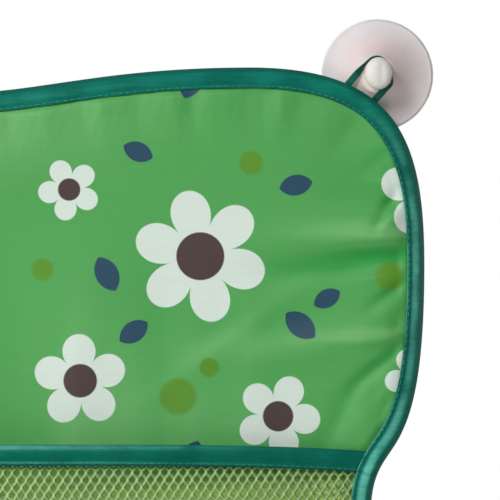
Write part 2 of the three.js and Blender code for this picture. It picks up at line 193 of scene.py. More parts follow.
# Sharper creases that run in from the binding, told in the same way
creases = [
    (0.912, 0.187, 30, -0.25, 0.2, 0.26),
    (0.921, 0.248, -6, 0.32, 0.22, 0.17),
    (0.942, 0.279, 35, -0.48, 0.17, 0.18),
    (0.916, 0.313, 60, -0.42, 0.18, 0.17),
    (0.938, 0.322, 50, 0.22, 0.15, 0.15),
    (0.958, 0.347, 10, -0.28, 0.1, 0.14),
    (0.93, 0.37, -3, 0.5, 0.34, 0.18),
    (0.915, 0.41, 1, -0.5, 0.5, 0.24),
    (0.92, 0.455, 5, 0.42, 0.45, 0.26),
    (0.934, 0.49, 35, -0.62, 0.22, 0.18),
    (0.945, 0.522, 30, 0.3, 0.2, 0.17),
    (0.955, 0.556, 40, -0.4, 0.12, 0.15),
    (0.9, 0.598, 3, 0.55, 0.45, 0.19),
    (0.909, 0.655, 40, -0.72, 0.36, 0.26),
    (0.935, 0.7, 50, 0.35, 0.3, 0.24),
    (0.83, 0.76, 62, -0.4, 0.42, 0.36),
    (0.62, 0.58, 36, 0.2, 1, 0.4),
    (-0.93, 0.26, 4, 0.3, 0.3, 0.2),
    (-0.93, 0.31, -20, -0.4, 0.3, 0.2),
    (-0.9, 0.37, 5, 0.36, 0.45, 0.2),
    (-0.93, 0.45, -32, -0.4, 0.34, 0.22),
    (-0.92, 0.54, -12, 0.28, 0.3, 0.22),
    (-0.9, 0.61, -44, -0.34, 0.4, 0.24),
    (-0.4, 0.1, 70, 0.2, 0.5, 0.5),
    (0.1, 0.08, 100, 0.22, 0.5, 0.5),
]
# The painted shade and highlight of a fold lie this much above its shape
fold_light_lift = 0.0028
# Small waves from side to side, which grow between these two distances below the cups' middles
drape_depth = 0.0005
drape_count = 34
drape_heights = (0.06, 0.13)
# Puckers along the sewn edge
pucker_depth = 0.0011
pucker_pitch = 0.0085
pucker_start = 0.011
pucker_reach = 0.015
free_cloth = 0.012
# The painted shadow beside the top tape fades out between these two walks from the top middle
seam_shadow_width = 0.001
seam_shadow_ends = (0.15, 0.2)
points_at_once = 4000
chance = np.random.default_rng(21)
pucker_swing = chance.uniform(-1, 1, int(edge_length / pucker_pitch) + 2)
pucker_swing[-1] = pucker_swing[0]
drape_places = np.linspace(-head_half_width, head_half_width, drape_count)
drape_swing = chance.uniform(-1, 1, drape_count)


def smooth_share(value, start, end):
    share = np.clip((value - start) / (end - start), 0, 1)
    return share * share * (3 - 2 * share)


def fold_rise(x, z):
    """How far the folds lift the cloth to the front."""
    rise = drape_depth * np.interp(x, drape_places, drape_swing) * smooth_share(-z, *drape_heights)
    for fold_x, fold_z, lean, depth, length, width in folds + creases:
        across, up = x - fold_x * head_half_width, z + fold_z * head_height
        turn = math.radians(lean)
        along = (across * math.cos(turn) + up * math.sin(turn)) / (length * fold_length)
        aside = (up * math.cos(turn) - across * math.sin(turn)) / (width * fold_width)
        rise += depth * fold_depth * np.exp(-(along**2) - aside**2)
    return rise


def nearest_on_edge(x, z):
    """How far in from the edge each point lies, and the walk along the edge to the place nearest to it."""
    walks = np.arange(0, edge_length, 4 * walk_step)
    marks = edge_point(walks)
    near, where = np.empty(len(x)), np.empty(len(x))
    for first in range(0, len(x), points_at_once):
        part = slice(first, first + points_at_once)
        across, up = x[part, None] - marks[:, 0], z[part, None] - marks[:, 1]
        best = np.hypot(across, up).argmin(axis=1)
        inward = edge_inward(walks[best])
        here = np.arange(len(best))
        near[part] = across[here, best] * inward[:, 0] + up[here, best] * inward[:, 1]
        where[part] = walks[best]
    return near, where


def panel_depth(x, z):
    """Y of the middle of the panel's cloth."""
    near, where = nearest_on_edge(x, z)
    swing = np.interp(where, np.linspace(0, edge_length, len(pucker_swing)), pucker_swing)
    free = smooth_share(near, tape_width, free_cloth)
    pucker = pucker_depth * swing * free * np.exp(-(((near - pucker_start) / pucker_reach) ** 2))
    return cloth_plane + curl(x) - free * fold_rise(x, z) - pucker


def seam_shadow(x, z):
    """How deep each place lies in the painted shadow beside the tape along the top, 1 at the tape."""
    near, where = nearest_on_edge(x, z)
    at_top = 1 - smooth_share(from_middle(where), *seam_shadow_ends)
    return at_top * (tape_width + seam_shadow_width - near) / seam_shadow_width


def cut_cloth(edge_inset):
    """A grid of cells, taller behind the pocket, cut to the outline. Its outer points lie on the cut line."""
    columns = np.arange(-head_half_width, head_half_width + panel_cell, panel_cell)
    rows = np.concatenate([
        np.arange(foot[1], pocket_start, pocket_cell),
        np.arange(pocket_start, crown_rise + panel_cell, panel_cell),
    ])
    grid_x, grid_z = (g.ravel() for g in np.meshgrid(columns, rows))
    near, _ = nearest_on_edge(grid_x, grid_z)
    inside = (near > edge_inset).reshape(len(rows), len(columns))
    whole = inside[:-1, :-1] & inside[1:, :-1] & inside[:-1, 1:] & inside[1:, 1:]
    row, column = np.nonzero(whole)
    corner = row * len(columns) + column
    faces = np.stack([corner, corner + 1, corner + 1 + len(columns), corner + len(columns)], axis=1)
    used, faces = np.unique(faces, return_inverse=True)
    faces = faces.reshape(-1, 4)
    x, z = grid_x[used].copy(), grid_z[used].copy()
    sides = np.sort(np.stack([faces, np.roll(faces, -1, axis=1)], axis=-1).reshape(-1, 2), axis=1)
    sides, uses = np.unique(sides, axis=0, return_counts=True)
    rim = np.unique(sides[uses == 1])
    _, where = nearest_on_edge(x[rim], z[rim])
    cut = inset(where, edge_inset)
    x[rim], z[rim] = cut[:, 0], cut[:, 1]
    return x, z, faces


def paint(piece, label, values):
    """Leaves a value on each point of a mesh, for its material."""
    piece.data.attributes.new(label, "FLOAT", "POINT").data.foreach_set("value", values)


def thicken(piece, name, thickness, offset, back_slot=0):
    layer = piece.modifiers.new(name, "SOLIDIFY")
    layer.thickness, layer.offset, layer.material_offset = thickness, offset, back_slot


def wire(tree, target, source):
    """Feeds a socket from another, or sets it to a value."""
    if isinstance(source, bpy.types.NodeSocket):
        tree.links.new(source, target)
    else:
        target.default_value = source


def sum_node(tree, operation, *inputs):
    node = tree.nodes.new("ShaderNodeMath")
    node.operation = operation
    for socket, source in zip(node.inputs, inputs):
        wire(tree, socket, source)
    return node.outputs[0]


def vector_node(tree, operation, *inputs, output=0):
    node = tree.nodes.new("ShaderNodeVectorMath")
    node.operation = operation
    for socket, source in zip(node.inputs, inputs):
        wire(tree, socket, source)
    return node.outputs[output]


def axes_of(tree, place):
    node = tree.nodes.new("ShaderNodeSeparateXYZ")
    wire(tree, node.inputs[0], place)
    return node.outputs


def flat_from(tree, place, centre):
    """The way from a centre to each place, across and up only."""
    return vector_node(tree, "MULTIPLY", vector_node(tree, "SUBTRACT", place, centre), (1.0, 0.0, 1.0))


def painted(tree, label):
    """The values that were left on the mesh under this label."""
    node = tree.nodes.new("ShaderNodeAttribute")
    node.attribute_name = label
    return node.outputs["Fac"]


def ramp_node(tree, value, start, end, low=0.0, high=1.0):
    node = tree.nodes.new("ShaderNodeMapRange")
    node.interpolation_type = "SMOOTHSTEP"
    for socket, source in zip(node.inputs[:5], (value, start, end, low, high)):
        wire(tree, socket, source)
    return node.outputs[0]


def mix_colours(tree, share, first, second):
    node = tree.nodes.new("ShaderNodeMix")
    node.data_type = "RGBA"
    wire(tree, node.inputs["Factor"], share)
    wire(tree, node.inputs[6], first)
    wire(tree, node.inputs[7], second)
    return node.outputs[2]


def noise_node(tree, place, scale, detail=3.0, roughness=0.5):
    node = tree.nodes.new("ShaderNodeTexNoise")
    wire(tree, node.inputs["Vector"], place)
    wire(tree, node.inputs["Scale"], scale)
    node.inputs["Detail"].default_value = detail
    node.inputs["Roughness"].default_value = roughness
    return node.outputs["Fac"]


def new_group(name, inputs, outputs):
    """An empty node group: inputs are (name, kind, start value), outputs are (name, kind)."""
    group = bpy.data.node_groups.new(name, "ShaderNodeTree")
    for label, kind, value in inputs:
        socket = group.interface.new_socket(label, in_out="INPUT", socket_type="NodeSocket" + kind)
        if value is not None:
            socket.default_value = value
    for label, kind in outputs:
        group.interface.new_socket(label, in_out="OUTPUT", socket_type="NodeSocket" + kind)
    taken = group.nodes.new("NodeGroupInput").outputs
    given = group.nodes.new("NodeGroupOutput").inputs
    return group, taken, given


def place_group(tree, group, **values):
    node = tree.nodes.new("ShaderNodeGroup")
    node.node_tree = group
    for label, value in values.items():
        wire(tree, node.inputs[label.replace("_", " ")], value)
    return node.outputs


def new_material(name, **settings):
    """Gives a material, its tree, and its Principled shader set to these values."""
    material = bpy.data.materials.new(name)
    material.use_nodes = True
    tree = material.node_tree
    shader = next(n for n in tree.nodes if n.type == "BSDF_PRINCIPLED")
    for label, value in settings.items():
        shader.inputs[label.replace("_", " ")].default_value = value
    return material, tree, shader


def shade_colour(tree, shader, colour, shade):
    """The shader's colour, made lighter and darker by the shade."""
    node = tree.nodes.new("ShaderNodeVectorMath")
    node.operation = "SCALE"
    wire(tree, node.inputs[0], colour)
    wire(tree, node.inputs["Scale"], shade)
    wire(tree, shader.inputs["Base Color"], node.outputs[0])


def bump(tree, shader, height, distance, strength=1.0):
    node = tree.nodes.new("ShaderNodeBump")
    node.inputs["Distance"].default_value = distance
    node.inputs["Strength"].default_value = strength
    wire(tree, node.inputs["Height"], height)
    wire(tree, shader.inputs["Normal"], node.outputs[0])


def place_of(tree):
    return tree.nodes.new("ShaderNodeTexCoord").outputs["Object"]


def woven_thread():
    """Threads over and under each other, and slubs along them. Thread is their pitch in metres."""
    group, taken, given = new_group(
        "Woven thread",
        [("Place", "Vector", None), ("Thread", "Float", 0.0005), ("Slub", "Float", 40.0)],
        [("Height", "Float"), ("Shade", "Float")],
    )
    axes = axes_of(group, taken["Place"])
    turns = [sum_node(group, "DIVIDE", axes[i], taken["Thread"]) for i in (0, 2)]
    waves = [sum_node(group, "SINE", sum_node(group, "MULTIPLY", turn, math.pi)) for turn in turns]
    rounds = [sum_node(group, "ABSOLUTE", wave) for wave in waves]
    cells = [sum_node(group, "FLOOR", turn) for turn in turns]
    over = sum_node(group, "PINGPONG", sum_node(group, "ADD", *cells), 1.0)
    under = sum_node(group, "SUBTRACT", 1.0, over)
    weft = sum_node(group, "MULTIPLY", rounds[1], sum_node(group, "MULTIPLY_ADD", over, 0.5, 0.5))
    warp = sum_node(group, "MULTIPLY", rounds[0], sum_node(group, "MULTIPLY_ADD", under, 0.5, 0.5))
    stretched = vector_node(group, "MULTIPLY", taken["Place"], (1.0, 1.0, 14.0))
    slubs = noise_node(group, stretched, taken["Slub"], detail=4.0, roughness=0.6)
    threads = sum_node(group, "MAXIMUM", weft, warp)
    wire(group, given["Height"], sum_node(group, "MULTIPLY_ADD", slubs, 0.08, threads))
    wire(group, given["Shade"], slubs)
    return group


# Shapes of the print: how round and how long its petals are, how wide the disc, how slim the leaves, and how
# soft the ink's edge
petal_roundness = 0.55
petal_share = 0.56
disc_share = 0.36
leaf_offset = 0.45
ink_edge = 0.0003


def daisy():
    """Petals round a disc, flat in the plane of the panel."""
    group, taken, given = new_group(
        "Daisy",
        [("Place", "Vector", None), ("Centre", "Vector", None), ("Reach", "Float", 0.02),
         ("Turn", "Float", 0.0), ("Petals", "Float", 5.0)],
        [("Petals", "Float"), ("Disc", "Float")],
    )
    away = flat_from(group, taken["Place"], taken["Centre"])
    axes = axes_of(group, away)
    angle = sum_node(group, "ADD", sum_node(group, "ARCTAN2", axes[2], axes[0]), taken["Turn"])
    half_turns = sum_node(group, "MULTIPLY", angle, sum_node(group, "DIVIDE", taken["Petals"], 2.0))
    wave = sum_node(group, "ABSOLUTE", sum_node(group, "COSINE", half_turns))
    wave = sum_node(group, "POWER", wave, petal_roundness)
    wave = sum_node(group, "MULTIPLY_ADD", wave, petal_share, 1 - petal_share)
    radius = vector_node(group, "LENGTH", away, output=1)
    past_petal = sum_node(group, "SUBTRACT", radius, sum_node(group, "MULTIPLY", taken["Reach"], wave))
    past_disc = sum_node(group, "MULTIPLY_ADD", taken["Reach"], -disc_share, radius)
    for label, past in (("Petals", past_petal), ("Disc", past_disc)):
        wire(group, given[label], ramp_node(group, past, ink_edge, -ink_edge))
    return group


def leaf():
    """The shape that two like circles share."""
    group, taken, given = new_group(
        "Leaf",
        [("Place", "Vector", None), ("Centre", "Vector", None), ("Length", "Float", 0.012),
         ("Turn", "Float", 0.0)],
        [("Leaf", "Float")],
    )
    turned = group.nodes.new("ShaderNodeVectorRotate")
    turned.rotation_type = "Y_AXIS"
    wire(group, turned.inputs["Vector"], flat_from(group, taken["Place"], taken["Centre"]))
    wire(group, turned.inputs["Angle"], taken["Turn"])
    shrunk = vector_node(group, "DIVIDE", turned.outputs[0], taken["Length"])
    sides = [
        vector_node(group, "LENGTH", vector_node(group, "ADD", shrunk, (0.0, 0.0, aside)), output=1)
        for aside in (leaf_offset, -leaf_offset)
    ]
    wire(group, given["Leaf"], ramp_node(group, sum_node(group, "MAXIMUM", *sides), 1.02, 0.98))
    return group


# One repeat of the print; the next column of repeats drops by half
repeat_width = 0.156
repeat_drop = 0.17
print_start = (0.031, 0.0, -0.02)
daisies = [
    dict(at=(0.083, 0.108), reach=0.030, turn=0.3, petals=6),
    dict(at=(0.029, 0.052), reach=0.021, turn=0.9, petals=5),
    dict(at=(0.118, 0.036), reach=0.019, turn=0.1, petals=5),
    dict(at=(0.024, 0.138), reach=0.014, turn=0.5, petals=5),
]
leaves = [
    dict(at=(0.128, 0.077), length=0.0095, turn=-0.7),
    dict(at=(0.140, 0.089), length=0.0075, turn=0.5),
    dict(at=(0.053, 0.074), length=0.0085, turn=0.6),
    dict(at=(0.041, 0.100), length=0.0095, turn=-1.1),
    dict(at=(0.079, 0.017), length=0.0095, turn=1.2),
    dict(at=(0.126, 0.140), length=0.0085, turn=0.2),
    dict(at=(0.055, 0.155), length=0.008, turn=-0.4),
]
dots = [
    dict(at=(0.073, 0.045), reach=0.0085),
    dict(at=(0.087, 0.058), reach=0.0045),
    dict(at=(0.012, 0.014), reach=0.0065),
    dict(at=(0.106, 0.150), reach=0.0055),
    dict(at=(0.012, 0.102), reach=0.005),
]
cloth_green = (0.07, 0.345, 0.078, 1)
cloth_green_deep = (0.06, 0.32, 0.07, 1)
# Painted shade in the valleys of the folds, and painted highlight on their ridges
valley_shade_green = (0.013, 0.3, 0.047, 1)
ridge_highlight_green = (0.13, 0.41, 0.125, 1)
print_white = (0.66, 0.76, 0.68, 1)
print_brown = (0.048, 0.026, 0.024, 1)
print_navy = (0.004, 0.045, 0.085, 1)
print_olive = (0.085, 0.25, 0.004, 1)
# Painted shadow beside the top tape
seam_shadow_green = (0.004, 0.16, 0.015, 1)
bare_green = (0.2, 0.46, 0.22, 1)
# Behind the net the cloth is plain olive, painted brighter than its own colour as painted light against the
# net's shadow, and painted dark just under the mouth as painted shade
pocket_shade_green = (0.06, 0.24, 0.04, 1)
pocket_olive_brightened = (0.56, 0.78, 0.2, 1)
print_end_heights = (-0.174, -0.1746)
olive_heights = (-0.177, -0.188)
thread_group, daisy_group, leaf_group = woven_thread(), daisy(), leaf()


def printed_colour(tree, place):
    """The colour of the print at each place."""
    moved = axes_of(tree, vector_node(tree, "SUBTRACT", place, print_start))
    column = sum_node(tree, "FLOOR", sum_node(tree, "DIVIDE", moved[0], repeat_width))
    dropped = sum_node(tree, "MULTIPLY_ADD", column, repeat_drop / 2, moved[2])
    within = tree.nodes.new("ShaderNodeCombineXYZ")
    wire(tree, within.inputs[0], sum_node(tree, "FLOORED_MODULO", moved[0], repeat_width))
    wire(tree, within.inputs[2], sum_node(tree, "FLOORED_MODULO", dropped, repeat_drop))
    here = within.outputs[0]

    def centre(motif):
        return motif["at"][0], 0.0, motif["at"][1]

    def most(masks):
        found = masks[0]
        for mask in masks[1:]:
            found = sum_node(tree, "MAXIMUM", found, mask)
        return found

    flowers = [
        place_group(tree, daisy_group, Place=here, Centre=centre(d), Reach=d["reach"], Turn=d["turn"],
                    Petals=float(d["petals"]))
        for d in daisies
    ]
    blades = [
        place_group(tree, leaf_group, Place=here, Centre=centre(d), Length=d["length"],
                    Turn=d["turn"])["Leaf"]
        for d in leaves
    ]
    spots = []
    for dot in dots:
        away = vector_node(tree, "DISTANCE", here, centre(dot), output=1)
        spots.append(ramp_node(tree, away, 1.12 * dot["reach"], 0.8 * dot["reach"]))
    broad = noise_node(tree, place, scale=9.0, detail=2.0)
    fold = painted(tree, "fold")
    height = axes_of(tree, place)[2]
    colour = mix_colours(tree, ramp_node(tree, broad, 0.3, 0.75), cloth_green, cloth_green_deep)
    # Over a ground that varies at random: the folds' painted shade and highlight, the print, the painted
    # shadow beside the top tape, and behind the net its painted shade under the mouth and its brightened olive
    for share, over in (
        (ramp_node(tree, fold, -0.1, -1.0), valley_shade_green),
        (ramp_node(tree, fold, 0.12, 0.85), ridge_highlight_green),
        (sum_node(tree, "MULTIPLY", most(spots), 0.9), print_olive),
        (most(blades), print_navy),
        (most([f["Petals"] for f in flowers]), print_white),
        (most([f["Disc"] for f in flowers]), print_brown),
        (ramp_node(tree, painted(tree, "seam"), 0.1, 0.8, 0.0, 0.85), seam_shadow_green),
        (ramp_node(tree, height, *print_end_heights), pocket_shade_green),
        (ramp_node(tree, height, *olive_heights), pocket_olive_brightened),
    ):
        colour = mix_colours(tree, share, colour, over)
    return colour


def panel_material(name, ink_share):
    """The panel's cloth. Ink_share is how much of the print this side shows."""
    material, tree, shader = new_material(
        name, Roughness=0.42, Specular_IOR_Level=0.3, Sheen_Weight=0.12, Sheen_Roughness=0.4,
        Sheen_Tint=(0.7, 1.0, 0.75, 1),
    )
    place = place_of(tree)
    weave = place_group(tree, thread_group, Place=place, Thread=0.0006, Slub=55.0)
    colour = mix_colours(tree, ink_share, bare_green, printed_colour(tree, place))
    shade_colour(tree, shader, colour, ramp_node(tree, weave["Shade"], 0.3, 0.7, 0.985, 1.015))
    wire(tree, shader.inputs["Roughness"], ramp_node(tree, weave["Shade"], 0.25, 0.75, 0.4, 0.46))
    bump(tree, shader, weave["Height"], distance=0.00009, strength=0.6)
    return material


panel_x, panel_z, panel_faces = cut_cloth(panel_edge_inset)
panel_points = np.stack([panel_x, panel_depth(panel_x, panel_z), panel_z], axis=1)
panel = mesh_piece("panel_cloth", panel_points, panel_faces)
# The folds' painted shade and highlight are read from these values
paint(panel, "fold", fold_rise(panel_x, panel_z - fold_light_lift) / fold_depth)
paint(panel, "seam", seam_shadow(panel_x, panel_z))
for name, ink_share in (("Printed front", 1.0), ("Bare back", 0.3)):
    panel.data.materials.append(panel_material(name, ink_share))
thicken(panel, "Cloth", cloth_thickness, offset=0, back_slot=1)
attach(panel, "bag")
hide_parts("back_panel")

# Binding of the head
# Woven polyester tape, folded lengthwise over the edge and sewn through both of its halves with one row of
# stitches near its inner edges. It runs from one pocket end over the top to the other, slightly puffed.
net_seat = 0.0017
strand_room = 0.0006
net_room = net_seat + strand_room
mouth_room = net_room + tape_thickness + seam_gap
mouth_drop = 0.168
mouth_end_sag = 0.0024
joint_drop = 0.0133
# The fold widens between these two distances above the mouth
mouth_entry = (0.012, 0.001)
lap_length = 0.006
stitch_inset = 0.0084
stitch_length = 0.0026
stitch_pitch = 0.0032
stitch_radius = 0.00025
stitch_sink = 0.0002
stitch_sides = 6
# Along a stitch: how far each ring is from its middle, and how wide, as shares of its length and radius
stitch_rings = [(-0.5, 0.25), (-0.4, 0.85), (0.0, 1.0), (0.4, 0.85), (0.5, 0.25)]
tape_pitch = 0.0016
tape_puff = 0.0007
tape_groove = 0.00022
groove_share = 0.05
tape_wave = 0.0003
tape_flare = 0.001
free_share = 0.84
fold_radius = 0.00125
back_softness = 0.7
waist_puff = 0.0009
waist_reach = 0.02
swing_pitch = 0.004
tape_teal = (0.002, 0.098, 0.066, 1)
tape_teal_lit = (0.005, 0.155, 0.108, 1)
painted_highlight_teal = (0.12, 0.48, 0.37, 1)
painted_rim_shade_teal = (0.004, 0.06, 0.045, 1)
thread_teal = (0.06, 0.34, 0.24, 1)
mouth_walk = float(walk_to_height(-mouth_drop))
joint_walk = float(walk_to_height(-mouth_drop - joint_drop))

# Across the tape's front half, from its free edge to the fold: how far in each point lies, as a share of the
# width. The back half has the same shares.
front_shares = np.array([1.0, 0.97, 0.93, 0.89, 0.85, 0.8, 0.74, 0.66, 0.54, 0.4, 0.27, 0.18])
# Across the front, how much each place takes the painted highlight of the tape's crown, or below 0 its rim's
# painted shade
edge_light_tones = np.array([0.7, 0.5, -0.2, -0.3, 0.0, 0.2, 0.5, 0.9, 1.0, 0.7, 0.0, -0.7])
# The back half takes painted shade
back_shade_tone = -0.5
fold_turns = np.radians([-72, -45, -18, 18, 45, 72])
# How strong the painted highlight on the tape is that far along from the top middle: strongest where it passes
# over the mouth's ends
highlight_marks = [
    (0, 0.2), (0.05, 0.2), (0.08, 0.15), (0.11, 0.05), (0.19, 0.05), (0.22, 0.35), (0.26, 0.8), (0.285, 0.8),
    (0.31, 0.55), (0.335, 0.6), (joint_walk - 0.006, 1), (joint_walk + 0.012, 1), (joint_walk + 0.04, 0.3),
]


def tape_swing(walked, seed):
    """An uneven swing between -1 and 1 along a sewn edge."""
    swings = np.random.default_rng(seed).uniform(-1, 1, int(2 * edge_length / swing_pitch))
    return np.interp(walked, np.arange(len(swings)) * swing_pitch - edge_length / 2, swings)


def tape_layers(share, walked, seed):
    """How far the tape stands off its plain plane: puffed between fold and stitches, drawn in under them."""
    sewn_share = stitch_inset / tape_width
    at_waist = np.exp(-(((from_middle(walked) - joint_walk) / waist_reach) ** 2))
    swell = tape_puff + waist_puff * at_waist
    puff = swell * np.sin(np.pi * np.clip(share / sewn_share, 0, 1)) ** 0.8
    pull = 1 + 0.5 * np.cos(2 * np.pi * walked / stitch_pitch)
    groove = tape_groove * pull * np.exp(-(((share - sewn_share) / groove_share) ** 2))
    free = np.clip((share - free_share) / (1 - free_share), 0, 1)
    flare = (tape_flare + tape_wave * tape_swing(walked, seed)) * free
    return puff - groove + flare


def folded_tape(name, walks, place, rooms, tones, highlight_strength, seed, lift=0.0):
    """A tape folded over an edge. place(walks, distance) gives points on the edge's own middle surface, and
    rooms(walks) gives the room before and behind that surface, inside the fold. Lift opens its front edge."""
    front_room, back_room = rooms(walks)

    def column(distance, off, side):
        return place(walks, distance) + off[:, None] * (0, side, 0)

    columns = []
    for share in front_shares:
        opened = lift * max(0, share - free_share) / (1 - free_share)
        columns.append(column(share * tape_width, front_room + tape_layers(share, walks, seed) + opened, -1))
    middle, half = (front_room - back_room) / 2, (front_room + back_room) / 2
    for turn in fold_turns:
        columns.append(column(fold_radius * (1 - math.cos(turn)), middle - half * math.sin(turn), -1))
    for share in front_shares[::-1]:
        off = back_room + back_softness * tape_layers(share, walks, seed + 1)
        columns.append(column(share * tape_width, off, 1))
    points = np.stack(columns, axis=1)
    rows, across = points.shape[:2]
    corner = (np.arange(rows - 1)[:, None] * across + np.arange(across - 1)).ravel()
    faces = np.stack([corner, corner + 1, corner + across + 1, corner + across], axis=1)
    tape = mesh_piece(name, points.reshape(-1, 3), faces)
    # The fold's round and the back half take painted shade, and the painted highlight is scaled along the tape
    round_fold = np.linspace(tones[-1], back_shade_tone, len(fold_turns))
    tones = np.concatenate([tones, round_fold, np.full(len(front_shares), back_shade_tone)])
    paint(tape, "tone", np.where(tones > 0, tones * highlight_strength[:, None], tones).ravel())
    thicken(tape, "Tape", tape_thickness, offset=1)
    return tape


def ring_faces(first, rings, around):
    """The sides of a tube whose rings of points follow each other from the first point on."""
    faces = []
    for ring in range(rings - 1):
        for i in range(around):
            a, b = first + ring * around + i, first + ring * around + (i + 1) % around
            faces.append((a, b, b + around, a + around))
    return faces


def stitch_row(name, walks, place, rooms, seed):
    """Short stitches on the front and on the back of a tape, each a rounded rod sunk into it."""
    front_room, back_room = rooms(walks)
    points, faces, start = [], [], 0

    def along_seam(share):
        return place(walks + share * stitch_length, stitch_inset)

    halves = ((-1, front_room, seed, 1.0), (1, back_room, seed + 1, back_softness))
    for side, room, layer_seed, softness in halves:
        layers = softness * tape_layers(stitch_inset / tape_width, walks, layer_seed)
        off = room + tape_thickness + layers + 0.7 * stitch_radius
        rings = []
        for end, width in stitch_rings:
            middle = along_seam(end)
            middle[:, 1] += side * (off - stitch_sink * (1 - math.cos(end * math.pi)))
            along = along_seam(end + 0.1) - along_seam(end - 0.1)
            along /= np.linalg.norm(along, axis=1, keepdims=True)
            out = np.zeros_like(middle)
            out[:, 1] = 1
            beside = np.cross(along, out)
            for turn in np.arange(stitch_sides) * 2 * math.pi / stitch_sides:
                spoke = math.cos(turn) * beside + math.sin(turn) * out
                rings.append(middle + width * stitch_radius * spoke)
        points.append(np.stack(rings, axis=1).reshape(-1, 3))
        for first in range(start, start + len(points[-1]), len(rings)):
            faces += ring_faces(first, len(stitch_rings), stitch_sides)
            faces.append(tuple(first + i for i in reversed(range(stitch_sides))))
            faces.append(tuple(first + len(rings) - stitch_sides + i for i in range(stitch_sides)))
        start += len(points[-1])
    sewn = mesh_piece(name, np.vstack(points), faces)
    sewn.data.materials.append(thread_material)
    return sewn


def on_edge(walks, distance):
    point = inset(walks, distance)
    return np.stack([point[:, 0], cloth_plane + curl(point[:, 0]), point[:, 1]], axis=1)


# How strong the painted highlight is along the edge tapes
def edge_highlight(walks):
    return np.interp(from_middle(walks), *zip(*highlight_marks))


def head_rooms(walks):
    """The tape's fold is wider at its ends, where it takes in the ends of the mouth's tape."""
    under = smooth_share(from_middle(walks) - mouth_walk, -mouth_entry[0], -mouth_entry[1])
    return cloth_room + (mouth_room - cloth_room) * under, cloth_room


def tape_material(name, dark, lit, roughness):
    material, tree, shader = new_material(
        name, Roughness=roughness, Specular_IOR_Level=0.45, Specular_Tint=(0.06, 0.8, 0.66, 1),
    )
    place = place_of(tree)
    weave = place_group(tree, thread_group, Place=place, Thread=0.0007, Slub=90.0)
    patch = noise_node(tree, place, scale=60.0)
    colour = mix_colours(tree, ramp_node(tree, patch, 0.35, 0.7), dark, lit)
    # Patchy painted highlight on the crown and painted shade at the rim, from the values left on the tape
    tone = painted(tree, "tone")
    highlight_patch = ramp_node(tree, patch, 0.22, 0.55)
    pale = sum_node(tree, "MULTIPLY", ramp_node(tree, tone, 0.0, 1.0), highlight_patch)
    colour = mix_colours(tree, pale, colour, painted_highlight_teal)
    colour = mix_colours(tree, ramp_node(tree, tone, 0.0, -1.0), colour, painted_rim_shade_teal)
    shade_colour(tree, shader, colour, ramp_node(tree, weave["Shade"], 0.3, 0.7, 0.85, 1.12))
    rough = ramp_node(tree, patch, 0.2, 0.8, roughness - 0.06, roughness + 0.1)
    wire(tree, shader.inputs["Roughness"], rough)
    bump(tree, shader, weave["Height"], distance=0.00014, strength=0.8)
    return material


edge_tape_material = tape_material("Edge tape", tape_teal, tape_teal_lit, 0.45)
thread_material, thread_tree, thread_shader = new_material(
    "Sewing thread", Base_Color=thread_teal, Roughness=0.55, Specular_Tint=(0.1, 0.8, 0.66, 1)
)
twist = noise_node(thread_tree, place_of(thread_tree), scale=900.0, detail=1.0)
thread_colour = mix_colours(thread_tree, twist, thread_teal, tape_teal)
wire(thread_tree, thread_shader.inputs["Base Color"], thread_colour)
bump(thread_tree, thread_shader, twist, distance=0.0001)

head_end = joint_walk + lap_length
head_walks = np.arange(-head_end, head_end + tape_pitch / 2, tape_pitch)
head_tape = folded_tape(
    "head_tape", head_walks, on_edge, head_rooms, edge_light_tones, edge_highlight(head_walks), seed=31
)
head_tape.data.materials.append(edge_tape_material)
head_stitch_walks = np.arange(-joint_walk + stitch_pitch, joint_walk - stitch_pitch / 2, stitch_pitch)
head_stitches = stitch_row("head_stitches", head_stitch_walks, on_edge, head_rooms, seed=31)
for piece in (head_tape, head_stitches):
    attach(piece, "bag")
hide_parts("head_binding")

# Binding of the pocket
# The same tape, folded over panel and net together from the waist down. Its cut ends lap over the ends of the
# head's tape, a step that shows just under the pocket's mouth.
lap_step = 1.15 * tape_thickness
lap_fade = 0.008
# Between these two distances below the joint the fold grows thinner, from the mouth's tape to the net alone
thinning = (0.004, 0.02)
# The stitches start and stop this far from the tape's cut ends
stitch_start, stitch_stop = 0.002, 0.001


def pocket_rooms(walks):
    past = from_middle(walks) - joint_walk
    lapped = lap_step * (1 - smooth_share(past, lap_length, lap_length + lap_fade))
    thinner = smooth_share(past, *thinning)
    return mouth_room + (net_room - mouth_room) * thinner + lapped, cloth_room + lapped


pocket_walks = np.linspace(
    joint_walk, edge_length - joint_walk, int((edge_length - 2 * joint_walk) / tape_pitch)
)
pocket_tape = folded_tape(
    "pocket_tape", pocket_walks, on_edge, pocket_rooms, edge_light_tones, edge_highlight(pocket_walks), seed=51
)
pocket_tape.data.materials.append(edge_tape_material)
pocket_stitch_walks = np.arange(
    joint_walk + stitch_start, edge_length - joint_walk - stitch_stop, stitch_pitch
)
pocket_stitches = stitch_row("pocket_stitches", pocket_stitch_walks, on_edge, pocket_rooms, seed=51)
for piece in (pocket_tape, pocket_stitches):
    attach(piece, "bag")
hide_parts("pocket_binding")

# Net of the pocket
# Knitted polyester net with long diamond holes, sewn in at the sides and the bottom under the binding. It
# stands forward with room for toys. Each strand is rounded, and two strands knit together at every knot.
knot_pitch = 0.0041
row_pitch = 0.0033
knot_half_length = 0.00055
strand_half_width = 0.00082
strand_half_depth = 0.0003
mouth_bow = 0.026
mouth_lift = 0.0023
belly_bow = 0.034
belly_height = foot[1] - 0.37 * (mouth_drop + foot[1])
net_edge_inset = 0.0035
net_side_inset = 0.0011
seam_marks = 900
mouth_marks = 500
gather_count = 60
gather_depth = 0.0009
# The gathers grow inward between these shares of the way, and downward between these two distances below the
# cups' middles
gather_shares = (0.02, 0.25)
gather_heights = (0.19, 0.3)
